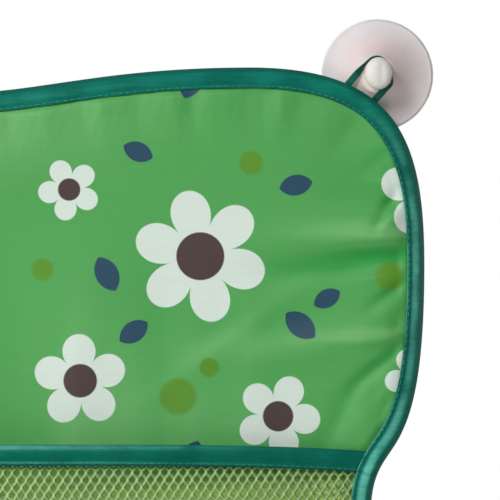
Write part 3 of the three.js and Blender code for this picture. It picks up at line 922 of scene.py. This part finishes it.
# The net's bow sets in between these two distances from the side tapes' inner edges, and over this distance
# below the mouth's tape
seam_leave = (-0.0005, 0.002)
mouth_leave = 0.012
columns_each_side = 60
# Pale streaks come in between these heights, and the shade of the mouth's tape fades between the next two
pale_heights = (-0.176, -0.2)
shadow_heights = (-0.1792, -0.1752)
net_light = (0.38, 0.58, 0.22, 1)
net_deep = (0.165, 0.32, 0.07, 1)
net_shaded = (0.06, 0.2, 0.04, 1)


def mouth_top(share):
    """The height of the mouth's fold, from 0 in its middle to -1 and 1 at its ends."""
    return mouth_lift - mouth_drop - (mouth_lift + mouth_end_sag) * share**4


def side_at_height(height, distance):
    walks = walk_to_height(height)
    point, inward = edge_point(walks), edge_inward(walks)
    return point[:, 0] + distance * inward[:, 0]


def mouth_place(shares, distance):
    """Points on the net's middle surface, that far down from the mouth's fold. Shares run from -1 to 1."""
    height = mouth_top(shares) - distance
    x = shares * side_at_height(height, net_side_inset)
    y = cloth_plane + curl(x) - net_seat - mouth_bow_at(shares)
    return np.stack([x, y, height], axis=1)


# The share of the mouth that is clear of the side bindings, where its bow begins
mouth_foot = np.array([mouth_top(1) - tape_width])
clear_reach = side_at_height(mouth_foot, tape_width + seam_gap)
clear_share = float((clear_reach / side_at_height(mouth_foot, net_side_inset))[0])


def mouth_bow_at(shares):
    return mouth_bow * np.maximum(0, 1 - (shares / clear_share) ** 2)


# The seam line of the net as seen from its middle, for the depth at any place within it
seam_walks = np.linspace(joint_walk, edge_length - joint_walk, seam_marks)
seam_line = inset(seam_walks, tape_width)
mouth_shares = np.linspace(-clear_share, clear_share, mouth_marks)
mouth_line = mouth_place(mouth_shares, tape_width)[:, [0, 2]]
net_line = np.vstack([seam_line, mouth_line])
net_bows = np.concatenate([np.zeros(seam_marks), mouth_bow_at(mouth_shares)])
net_angles = np.arctan2(net_line[:, 1] - belly_height, net_line[:, 0])
net_reaches = np.hypot(net_line[:, 0], net_line[:, 1] - belly_height)
turn_order = np.argsort(net_angles)
gather_places = np.linspace(-pocket_half_width, pocket_half_width, gather_count)
gather_swing = np.random.default_rng(8).uniform(-1, 1, gather_count)


def net_depth(x, z):
    """Y of the middle of the net: bowed out from its seams to the belly, with small gathers."""
    angle, reach = np.arctan2(z - belly_height, x), np.hypot(x, z - belly_height)
    angles = net_angles[turn_order]
    edge_reach = np.interp(angle, angles, net_reaches[turn_order], period=2 * math.pi)
    edge_bow = np.interp(angle, angles, net_bows[turn_order], period=2 * math.pi)
    inner = np.clip(1 - reach / edge_reach, 0, 1)
    rise = np.sin(inner * math.pi / 2)
    gather = gather_depth * np.interp(x, gather_places, gather_swing)
    gather *= smooth_share(inner, *gather_shares) * (0.4 + 0.6 * smooth_share(-z, *gather_heights))
    bow = edge_bow + (belly_bow - edge_bow) * rise + gather
    # Inside the tapes the net lies flat between their two halves
    near, _ = nearest_on_edge(x, z)
    across = x / side_at_height(z, net_side_inset)
    past_mouth = smooth_share(mouth_top(across) - z, tape_width, tape_width + mouth_leave)
    bow = mouth_bow_at(across) + past_mouth * (bow - mouth_bow_at(across))
    bow *= smooth_share(near, tape_width + seam_leave[0], tape_width + seam_leave[1])
    return cloth_plane + curl(x) - net_seat - bow


def net_cells():
    """Middles of the holes that lie inside the seams and the mouth's fold."""
    rows = np.arange(int(foot[1] / row_pitch) - 1, int(-mouth_drop / row_pitch) + 1)
    columns = np.arange(-columns_each_side, columns_each_side + 1)
    x, z = [], []
    for row in rows:
        shift = knot_pitch / 2 if row % 2 else 0
        x.append(columns * knot_pitch + shift)
        z.append(np.full(len(columns), row * row_pitch))
    x, z = np.concatenate(x), np.concatenate(z)
    near, _ = nearest_on_edge(x, z)
    below_mouth = mouth_top(np.clip(x / waist_half_width, -1, 1)) - z
    keep = (near > net_edge_inset) & (below_mouth > net_edge_inset)
    return x[keep], z[keep]


cell_x, cell_z = net_cells()
hole_corners = np.array([
    (0, row_pitch - knot_half_length),
    (knot_pitch / 2, knot_half_length),
    (knot_pitch / 2, -knot_half_length),
    (0, -row_pitch + knot_half_length),
    (-knot_pitch / 2, -knot_half_length),
    (-knot_pitch / 2, knot_half_length),
])
tall_shrink = 1 - 1.5 * strand_half_width / (row_pitch - knot_half_length)
wide_shrink = 1 - 1.08 * strand_half_width / (knot_pitch / 2)
rim_corners = hole_corners * np.array([tall_shrink, wide_shrink, wide_shrink] * 2)[:, None]
cell_middles = np.stack([cell_x, cell_z], axis=1)
strand_points = (cell_middles[:, None, :] + hole_corners).reshape(-1, 2)
# Corners that two cells share are one point
rounded = np.round(strand_points / 1e-5).astype(np.int64)
_, first_use, strand_index = np.unique(rounded, axis=0, return_index=True, return_inverse=True)
strand_index = strand_index.reshape(-1, 6)
strand_points = strand_points[first_use]
rim_points = (cell_middles[:, None, :] + rim_corners).reshape(-1, 2)
strand_y = net_depth(strand_points[:, 0], strand_points[:, 1])
rim_y = net_depth(rim_points[:, 0], rim_points[:, 1])
front_strands = np.stack([strand_points[:, 0], strand_y - strand_half_depth, strand_points[:, 1]], axis=1)
back_strands = front_strands + (0, 2 * strand_half_depth, 0)
rims = np.stack([rim_points[:, 0], rim_y, rim_points[:, 1]], axis=1)
net_points = np.vstack([front_strands, back_strands, rims])
to_back, rim_start = len(front_strands), 2 * len(front_strands)
rim_index = rim_start + np.arange(len(rim_points)).reshape(-1, 6)
next_strand, next_rim = np.roll(strand_index, -1, axis=1), np.roll(rim_index, -1, axis=1)
front_quads = np.stack([strand_index, rim_index, next_rim, next_strand], axis=-1)
back_quads = np.stack([strand_index + to_back, next_strand + to_back, next_rim, rim_index], axis=-1)
# A strand with a hole on one side only is the net's cut edge, closed from front to back
ways = np.stack([strand_index, next_strand], axis=-1).reshape(-1, 2)
_, side_first, side_uses = np.unique(np.sort(ways, axis=1), axis=0, return_index=True, return_counts=True)
cut_from, cut_to = ways[side_first[side_uses == 1]].T
edge_quads = np.stack([cut_from, cut_to, cut_to + to_back, cut_from + to_back], axis=1)
net_faces = np.vstack([front_quads.reshape(-1, 4), back_quads.reshape(-1, 4), edge_quads])
net = mesh_piece("pocket_net", net_points, net_faces)
net_material, net_tree, net_shader = new_material(
    "Pocket net", Roughness=0.5, Specular_IOR_Level=0.4, Sheen_Weight=0.3, Sheen_Roughness=0.4
)
net_place = place_of(net_tree)
along_yarn = vector_node(net_tree, "MULTIPLY", net_place, (1.0, 1.0, 0.35))
yarn = noise_node(net_tree, along_yarn, scale=900.0, detail=2.0)
down_net = vector_node(net_tree, "MULTIPLY", net_place, (1.0, 1.0, 0.06))
streaks = noise_node(net_tree, down_net, scale=110.0, detail=2.0)
net_axes = axes_of(net_tree, net_place)
across_knots = sum_node(net_tree, "DIVIDE", net_axes[0], knot_pitch)


def on_strand(lean):
    """How near a place is to the strands that rise to the right (lean 1) or to the left (lean -1)."""
    turn = sum_node(net_tree, "MULTIPLY_ADD", net_axes[2], -lean / (2 * row_pitch), across_knots)
    angle = sum_node(net_tree, "MULTIPLY", sum_node(net_tree, "ADD", turn, 0.5), 2 * math.pi)
    return ramp_node(net_tree, sum_node(net_tree, "COSINE", angle), 0.1, 0.95)


# Painted highlight: the strands that rise to the right lie uppermost and are painted lighter, most where they
# cross the others
rising, falling = on_strand(1), on_strand(-1)
crossing = sum_node(net_tree, "MULTIPLY", sum_node(net_tree, "MULTIPLY", rising, falling), 0.25)
lit = sum_node(net_tree, "MULTIPLY_ADD", rising, 0.75, crossing)
lower = ramp_node(net_tree, net_axes[2], *pale_heights)
pale = sum_node(net_tree, "MULTIPLY", lower, ramp_node(net_tree, streaks, 0.35, 0.65, 0.15, 0.65))
net_colour = mix_colours(net_tree, sum_node(net_tree, "MAXIMUM", lit, pale), net_deep, net_light)
under_tape = ramp_node(net_tree, net_axes[2], *shadow_heights, 0.0, 0.8)
net_colour = mix_colours(net_tree, under_tape, net_colour, net_shaded)
shade_colour(net_tree, net_shader, net_colour, ramp_node(net_tree, yarn, 0.3, 0.7, 0.85, 1.15))
bump(net_tree, net_shader, yarn, distance=0.00015)
net.data.materials.append(net_material)
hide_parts("pocket_mesh")

# Binding of the mouth
# A darker tape folded over the net's upper edge, its ends caught under the side bindings. It bows forward
# with the net, and its upper fold is soft and rolled.
mouth_teal = (0.001, 0.095, 0.061, 1)
mouth_teal_lit = (0.003, 0.135, 0.09, 1)
mouth_roll = 0.00045
mouth_sewn_share = 0.983
mouth_clearance = strand_half_depth + seam_gap
# Painted shade at the lower edge and across the middle, painted highlight just above the lower edge and on the
# rolled top
mouth_light_tones = np.array([-0.9, -0.4, 0.7, 0.8, 0.5, 0.1, -0.1, -0.3, -0.3, 0.0, 0.5, 1.0])
# The tape's painted highlight is strongest within this reach of its middle, and fades out between these two
# distances
mouth_highlight_reach = 0.08
mouth_highlight_fade = (0.12, 0.17)
mouth_half_length = float(mouth_place(np.array([1.0]), 0.0)[0, 0])


def on_mouth(walks, distance):
    return mouth_place(walks / mouth_half_length, distance)


def mouth_rooms(walks):
    loose = np.clip(1.05 - np.abs(walks) / mouth_half_length, 0, 1)
    roll = mouth_roll * loose * (0.6 + 0.4 * tape_swing(walks * 0.4, seed=71))
    return mouth_clearance + np.maximum(roll, 0), mouth_clearance


mouth_steps = 2 * int(mouth_half_length / tape_pitch)
mouth_walks = np.linspace(-mouth_half_length, mouth_half_length, mouth_steps)
mouth_highlight = 0.25 + 0.1 * tape_swing(mouth_walks * 0.6, seed=77)
mouth_highlight += 0.35 * np.exp(-((mouth_walks / mouth_highlight_reach) ** 2))
mouth_highlight *= 1 - 0.9 * smooth_share(np.abs(mouth_walks), *mouth_highlight_fade)
mouth_tape = folded_tape(
    "mouth_tape", mouth_walks, on_mouth, mouth_rooms, mouth_light_tones, mouth_highlight, seed=61, lift=0.0009
)
mouth_tape.data.materials.append(tape_material("Mouth tape", mouth_teal, mouth_teal_lit, 0.48))
mouth_sewn = mouth_sewn_share * clear_share * mouth_half_length
mouth_stitch_walks = np.arange(-mouth_sewn, mouth_sewn, stitch_pitch)
mouth_stitches = stitch_row("mouth_stitches", mouth_stitch_walks, on_mouth, mouth_rooms, seed=61)
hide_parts("mouth_binding")

# Net, mouth tape and stitches have their places baked into their meshes and are attached to no body
for piece in (net, mouth_tape, mouth_stitches):
    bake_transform(piece)

# Suction cups
# Soft translucent vinyl, moulded in one piece: a thin skirt that presses on the wall, a boss, a short neck on
# which the loop hangs, and an oval knob with a rounded end that keeps it there.
cup_inset = 0.0205
cup_reach = head_half_width - cup_inset
cup_radius = 0.0253
lip_width = 0.0015
lip_thickness = 0.0012
boss_radius = 0.0086
boss_depth = 0.0126
hollow_depth = 0.005
neck_radius = 0.0054
neck_wide = 0.87
neck_tall = 1.13
neck_waist = 0.0002
neck_foot = 0.0012
neck_length = 0.007
neck_start = boss_depth + neck_foot
neck_end = neck_start + neck_length
knob_radius = 0.0066
knob_lip = 0.0012
knob_start = neck_end + knob_lip
knob_depth = 0.006
knob_wide = 0.93
knob_tall = 1.09
boss_crown = 0.0011
knob_shoulder = 0.0016
pinch_start = 0.003
pinch_depth = 0.0004
pinch_place = 0.0012
pinch_reach = 0.0016
# The lip is painted near white between these two distances in from its edge, painted light where its rounded
# edge would turn dark
lip_light_band = (0.0012, 0.0002)
# From the first of these radii in to the second, the skirt takes a deeper pink, painted shade round the boss
boss_shade_reach = (0.021, 0.009)
cup_segments = 96
cup_pink = (0.82, 0.73, 0.74, 1)
boss_shade_pink = (0.79, 0.67, 0.64, 1)
painted_lip_light = (0.95, 0.9, 0.89, 1)
knob_white = (0.8, 0.78, 0.74, 1)


def skirt_depth(radius):
    """How far the skirt stands from the wall at this radius."""
    share = (cup_radius - radius) / (cup_radius - boss_radius)
    return lip_thickness + (boss_depth - lip_thickness) * share**1.8


def cup_profile():
    """Radius and distance from the wall, from the middle of the hollow round the lip to the knob's end."""
    hollow = [(share, hollow_depth * (1 - share**2)) for share in np.linspace(0, 1, 20)]
    places = [(share * (cup_radius - lip_width), depth) for share, depth in hollow]
    lip_round = lip_thickness / 2
    for turn in np.linspace(-0.5, 0.5, 9) * math.pi:
        radius = cup_radius - lip_round + lip_round * math.cos(turn)
        places.append((radius, lip_round + lip_round * math.sin(turn)))
    for share in np.linspace(0.03, 1, 28):
        radius = cup_radius + (boss_radius - cup_radius) * share
        places.append((radius, skirt_depth(radius)))
    boss_foot = neck_radius + neck_waist
    for turn in np.linspace(0.1, 1, 8) * math.pi / 2:
        radius = boss_foot + (boss_radius - boss_foot) * math.cos(turn) ** 0.8
        places.append((radius, boss_depth + boss_crown * math.sin(turn)))
    for share in np.linspace(0.1, 1, 8):
        radius = neck_radius - neck_waist * math.sin(share * math.pi)
        places.append((radius, neck_start + (neck_end - neck_start) * share))
    for turn in np.linspace(0, 0.5, 7)[1:] * math.pi:
        radius = neck_radius + (knob_radius - neck_radius) * math.sin(turn)
        places.append((radius, knob_start - knob_lip * math.cos(turn)))
    for turn in np.linspace(0, 0.5, 22)[1:] * math.pi:
        end = knob_shoulder + (knob_depth - knob_shoulder) * math.sin(turn) ** 1.15
        places.append((knob_radius * math.cos(turn) ** 0.62, knob_start + end))
    return places


def suction_cup(name, side):
    profile = cup_profile()
    oval_depths = (boss_depth, neck_start, neck_end, knob_start)
    turns = np.arange(cup_segments) * 2 * math.pi / cup_segments
    points = []
    for radius, depth in profile[1:-1]:
        wide = float(np.interp(depth, oval_depths, (1, neck_wide, neck_wide, knob_wide)))
        tall = float(np.interp(depth, oval_depths, (1, neck_tall, neck_tall, knob_tall)))
        # The knob's end is pinched a little across, as such knobs are to be gripped
        pinch = pinch_depth * float(smooth_share(depth - knob_start, pinch_start, knob_depth))
        for turn in turns:
            x, z = radius * wide * math.cos(turn), radius * tall * math.sin(turn)
            sunk = pinch * math.exp(-(((x - pinch_place) / pinch_reach) ** 2))
            points.append((side * cup_reach + x, -depth + sunk, z))
    rings = len(profile) - 2
    faces = ring_faces(0, rings, cup_segments)
    first, last = len(points), len(points) + 1
    points += [(side * cup_reach, -profile[0][1], 0), (side * cup_reach, -profile[-1][1], 0)]
    for i in range(cup_segments):
        ahead = (i + 1) % cup_segments
        faces.append((first, ahead, i))
        faces.append((last, (rings - 1) * cup_segments + i, (rings - 1) * cup_segments + ahead))
    return mesh_piece(name, points, faces)


cup_material, cup_tree, cup_shader = new_material(
    "Cup vinyl", Base_Color=cup_pink, Roughness=0.5, IOR=1.5, Specular_IOR_Level=0.3,
    Subsurface_Weight=0.4, Subsurface_Scale=0.004, Transmission_Weight=0.1,
)
cup_shader.inputs["Subsurface Radius"].default_value = (1.0, 0.45, 0.35)
cup_place = place_of(cup_tree)
from_wall = sum_node(cup_tree, "MULTIPLY", axes_of(cup_tree, cup_place)[1], -1.0)
knob_share = ramp_node(cup_tree, from_wall, neck_end, knob_start)
cloud = noise_node(cup_tree, cup_place, scale=120.0)
cup_centres = [(side * cup_reach, 0.0, 0.0) for side in (1, -1)]
from_axis = [
    vector_node(cup_tree, "LENGTH", flat_from(cup_tree, cup_place, centre), output=1)
    for centre in cup_centres
]
out_from_axis = sum_node(cup_tree, "MINIMUM", *from_axis)
near_boss = ramp_node(cup_tree, out_from_axis, *boss_shade_reach)
near_lip = ramp_node(cup_tree, out_from_axis, *(cup_radius - inward for inward in lip_light_band))
# Painted shade round the boss, and painted light on the lip
skirt_colour = mix_colours(cup_tree, near_boss, cup_pink, boss_shade_pink)
skirt_colour = mix_colours(cup_tree, near_lip, skirt_colour, painted_lip_light)
cup_colour = mix_colours(cup_tree, knob_share, skirt_colour, knob_white)
shade_colour(cup_tree, cup_shader, cup_colour, ramp_node(cup_tree, cloud, 0.3, 0.7, 0.97, 1.02))
wire(cup_tree, cup_shader.inputs["Roughness"], ramp_node(cup_tree, cloud, 0.2, 0.8, 0.44, 0.56))
bump(cup_tree, cup_shader, cloud, distance=0.0001, strength=0.5)
for side, word in ((1, "right"), (-1, "left")):
    cup = suction_cup(word + "_cup", side)
    cup.data.materials.append(cup_material)
    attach(cup, "wall_cups")
    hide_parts(word + "_suction_cup")

# Hanging loops
# Narrow dark tape, both ends sewn flat behind the head's binding. It turns on edge to pass over the neck of
# the cup's knob, which holds it in front of the cup.
loop_width = 0.0032
loop_clearance = 0.0005
loop_room = loop_clearance + loop_thickness / 2
loop_plane = -0.01632
shoulder_share = 0.4
root_length = 0.0055
loop_green = (0.003, 0.045, 0.028, 1)
loop_green_lit = (0.015, 0.12, 0.085, 1)
# Round the neck: the loop's turn in degrees, and how far out it lies, as a share of its closest way
neck_turns = [
    (140, 1.17), (115, 1.13), (90, 1.085), (60, 1.03), (30, 1), (0, 1), (-30, 1.22), (-66, 1.13),
]
inner_root_reach = 0.0135
outer_root_reach = 0.0016
loop_steps = 110
route_steps = 40
# The loop turns from on edge to flat between these shares of the way from the neck to its ends
flat_shares = (0.3, 0.7)


def top_edge_at(reach):
    """The place on the top edge this far out from the middle."""
    walks = np.arange(0, edge_length / 2, walk_step)
    along_top = edge_point(walks)
    rising = int(np.argmax(along_top[:, 0]))
    return np.array([reach, float(np.interp(reach, along_top[:rising, 0], along_top[:rising, 1]))])


def smooth_line(points, count):
    """A curve through the points that never overshoots, cut into steps of equal length."""
    ends = np.vstack([2 * points[0] - points[1], points, 2 * points[-1] - points[-2]])
    gaps = np.linalg.norm(np.diff(ends, axis=0), axis=1) ** 0.5
    fine = []
    for i in range(1, len(ends) - 2):
        p0, p1, p2, p3 = ends[i - 1:i + 3]
        d0, d1, d2 = gaps[i - 1:i + 2]
        leave = (p1 - p0) / d0 - (p2 - p0) / (d0 + d1) + (p2 - p1) / d1
        arrive = (p2 - p1) / d1 - (p3 - p1) / (d1 + d2) + (p3 - p2) / d2
        t = np.linspace(0, 1, route_steps, endpoint=False)[:, None]
        leave, arrive = leave * d1, arrive * d1
        fine.append((2 * t**3 - 3 * t**2 + 1) * p1 + (t**3 - 2 * t**2 + t) * leave
                    + (3 * t**2 - 2 * t**3) * p2 + (t**3 - t**2) * arrive)
    fine = np.vstack(fine + [points[-1:]])
    walked = np.concatenate([[0], np.cumsum(np.linalg.norm(np.diff(fine, axis=0), axis=1))])
    at = np.linspace(0, walked[-1], count)
    return np.stack([np.interp(at, walked, fine[:, i]) for i in range(3)], axis=1)


def hanging_loop(name, side):
    centre = np.array([cup_reach, 0])
    inner = top_edge_at(cup_reach - inner_root_reach) - centre
    outer = top_edge_at(cup_reach - outer_root_reach) - centre
    closest = neck_radius * np.array([neck_wide, neck_tall]) + loop_room
    turns = [(math.radians(degrees), share) for degrees, share in neck_turns]
    over = [np.array([math.cos(turn), math.sin(turn)]) * closest * share for turn, share in turns]

    def beyond(root, before):
        return root + root_length * (root - before) / np.linalg.norm(root - before)

    def over_boss(root, before):
        place = root + shoulder_share * (before - root)
        half = loop_width / 2
        clear = skirt_depth(np.linalg.norm(place) - half) + loop_clearance + half
        return place[0], min(max(-clear, loop_plane), loop_root_plane), place[1]

    def level(plane, *spots):
        return [(x, plane, z) for x, z in spots]

    route = np.array([
        *level(loop_root_plane, beyond(inner, over[0]), inner),
        over_boss(inner, over[0]),
        *level(loop_plane, *over),
        over_boss(outer, over[-1]),
        *level(loop_root_plane, outer, beyond(outer, over[-1])),
    ])
    line = smooth_line(route, loop_steps)
    along = np.gradient(line, axis=0)
    along /= np.linalg.norm(along, axis=1, keepdims=True)
    aside = np.stack([along[:, 2], np.zeros(loop_steps), -along[:, 0]], axis=1)
    aside /= np.linalg.norm(aside, axis=1, keepdims=True)
    through = np.cross(along, aside)
    from_neck = np.abs(np.linspace(-1, 1, loop_steps))
    turn = smooth_share(from_neck, *flat_shares)[:, None] * math.pi / 2
    wide = through * np.cos(turn) + aside * np.sin(turn)
    thin = aside * np.cos(turn) - through * np.sin(turn)
    # A flat section with round edges and a shallow channel down its middle
    round_edge = [(0.5, 0.0), (0.49, 0.25), (0.44, 0.42), (0.3, 0.5), (0.12, 0.44), (0, 0.4)]
    half = round_edge + [(-w, t) for w, t in round_edge[-2::-1]]
    section = half + [(w, -t) for w, t in half[-2:0:-1]]
    rounds = [line + wide * (w * loop_width) + thin * (t * loop_thickness) for w, t in section]
    points = np.stack(rounds, axis=1)
    count = len(section)
    faces = ring_faces(0, loop_steps, count)
    faces += [tuple(range(count))[::-1], tuple((loop_steps - 1) * count + i for i in range(count))]
    points = points.reshape(-1, 3)
    points[:, 0] += cup_reach
    if side < 0:
        points[:, 0] *= -1
        faces = [tuple(reversed(f)) for f in faces]
    return mesh_piece(name, points, faces)


loop_material = tape_material("Loop tape", loop_green, loop_green_lit, 0.55)
for side, word in ((1, "right"), (-1, "left")):
    loop = hanging_loop(word + "_loop", side)
    loop.data.materials.append(loop_material)
    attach(loop, "bag")
    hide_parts(word + "_hanging_loop")

# Floor, light and camera
# A plain pale floor lies under the bag. One soft lamp stands to the upper left in front, a weaker one far to
# the left, and the sky lights evenly. The camera looks straight at the upper right quarter of the bag.
floor_height = -0.42
floor_reach = 4.0
floor_glow = 0.58
sky_level = 0.22
lamp_aim = (0.1, 0, -0.1)
view_middle = (0.13635, -0.0792)
view_width = 0.225
camera_distance = 2.2
sensor_width = 36


def seen_ray(tree):
    """One where the camera sees a place, straight or in a mirror or through something clear."""
    paths = tree.nodes.new("ShaderNodeLightPath").outputs
    straight = sum_node(tree, "MAXIMUM", paths["Is Camera Ray"], paths["Is Glossy Ray"])
    return sum_node(tree, "MAXIMUM", straight, paths["Is Transmission Ray"])


corners = [(-1, -1), (1, -1), (1, 1), (-1, 1)]
floor_points = [(x * floor_reach, y * floor_reach, floor_height) for x, y in corners]
floor = mesh_piece("floor", floor_points, [(0, 1, 2, 3)], smooth=False)
floor_material, floor_tree, floor_shader = new_material(
    "Pale floor", Base_Color=(0.85, 0.85, 0.85, 1), Roughness=0.8, Emission_Color=(1, 1, 1, 1)
)
grain = noise_node(floor_tree, place_of(floor_tree), scale=30.0)
wire(floor_tree, floor_shader.inputs["Roughness"], ramp_node(floor_tree, grain, 0.2, 0.8, 0.75, 0.9))
glow = sum_node(floor_tree, "MULTIPLY", seen_ray(floor_tree), floor_glow)
wire(floor_tree, floor_shader.inputs["Emission Strength"], glow)
floor.data.materials.append(floor_material)


def soft_lamp(name, place, size, watts):
    lamp = bpy.data.lights.new(name, "AREA")
    lamp.size, lamp.energy = size, watts
    stand = bpy.data.objects.new(name, lamp)
    bpy.context.scene.collection.objects.link(stand)
    stand.location = place
    stand.rotation_mode = "QUATERNION"
    stand.rotation_quaternion = (Vector(lamp_aim) - Vector(place)).to_track_quat("-Z", "Y")


soft_lamp("key", place=(-0.62, -1.8, 0.8), size=0.45, watts=25.5)
soft_lamp("fill", place=(-1.3, -0.5, 0.5), size=1.0, watts=8)

world = bpy.data.worlds.new("White")
bpy.context.scene.world = world
world.use_nodes = True
sky = world.node_tree
sky_light = next(n for n in sky.nodes if n.type == "BACKGROUND")
sky_light.inputs["Color"].default_value = (1, 1, 1, 1)
strength = sum_node(sky, "MULTIPLY_ADD", seen_ray(sky), 1 - sky_level, sky_level)
wire(sky, sky_light.inputs["Strength"], strength)

camera = bpy.data.objects.new("camera", bpy.data.cameras.new("camera"))
bpy.context.scene.collection.objects.link(camera)
camera.location = (view_middle[0], -camera_distance, view_middle[1])
camera.rotation_euler = (math.pi / 2, 0, 0)
camera.data.sensor_width = sensor_width
camera.data.lens = sensor_width * (camera_distance + cloth_plane) / view_width
bpy.context.scene.camera = camera
bpy.context.scene.view_settings.view_transform = "Standard"
